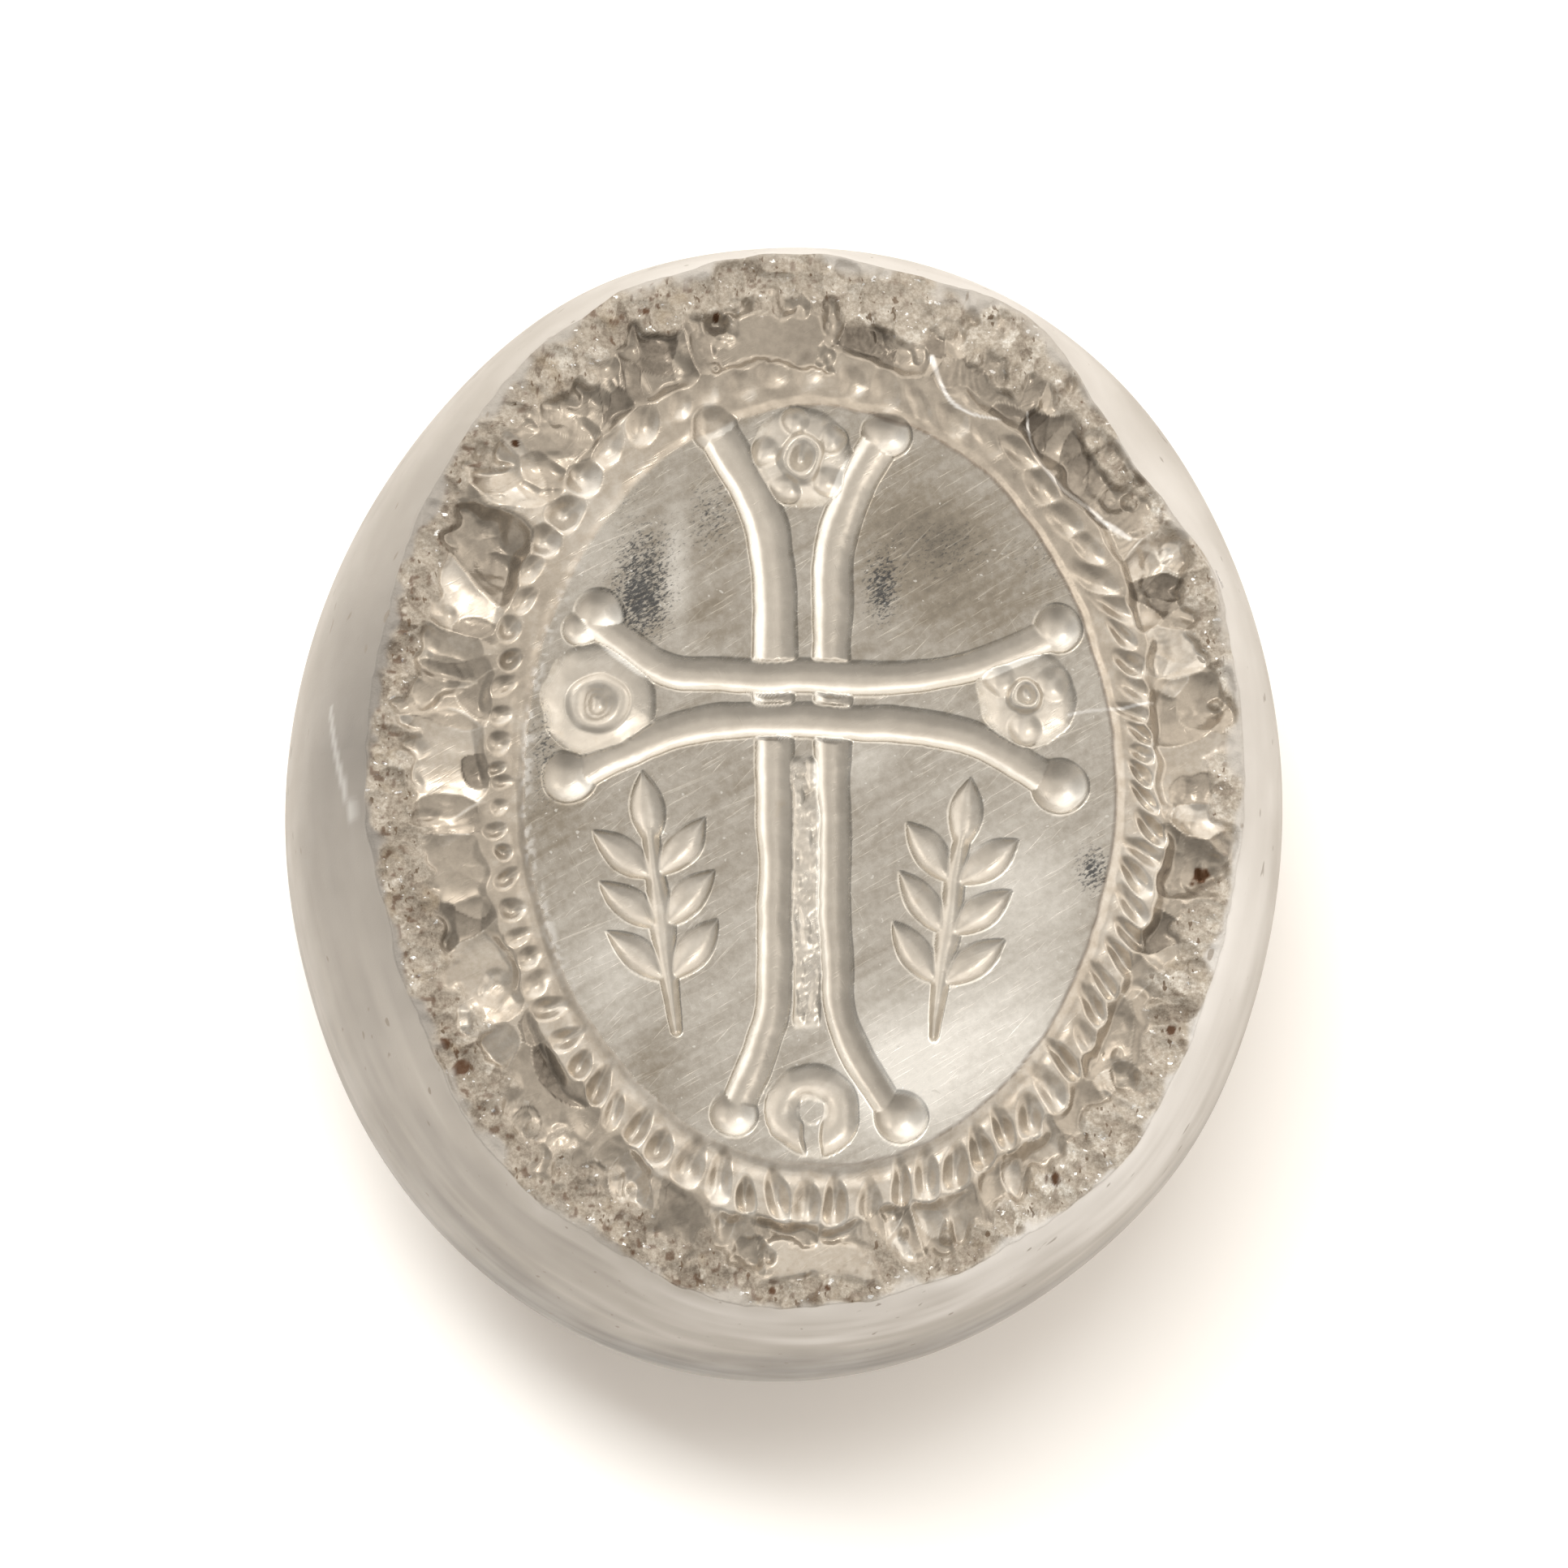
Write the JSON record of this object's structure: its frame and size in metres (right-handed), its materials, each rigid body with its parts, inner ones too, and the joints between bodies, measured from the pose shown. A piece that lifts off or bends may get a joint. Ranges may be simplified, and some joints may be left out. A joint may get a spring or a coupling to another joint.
{
  "type": "pierced crystal stamp seal on a swivel bail",
  "caption": "Domed rock-crystal stamp seal with a flat oval face cut with a cross and a wreath border, pierced lengthwise and hung on a silver swivel bail.",
  "frame": {"origin": "on the floor under the middle of the stone, which lies on the flat of its rounded back", "axes": "+Z out of the engraved face, +Y along the stone towards the top of the cross, +X to the right of the cross"},
  "size_m": [0.0176, 0.02, 0.0126],
  "materials": {
    "crystal": "polished face, satin flank, chipped glassy edge",
    "silver": "worn hand-rubbed silver"
  },
  "bodies": {
    "stone": {"seal_stone": "crystal", "bore_tube": "silver"},
    "bail": {"bail": "silver", "axle_pin": "silver", "upper_washer": "silver", "lower_washer": "silver", "upper_rove": "silver", "lower_rove": "silver"}
  },
  "joints": [
    {"name": "bail_swing", "type": "hinge", "parent": "stone", "child": "bail", "pos_m": [0, 0, 0.0036], "axis": [0, 1, 0], "range_deg": [-6, 141]}
  ]
}
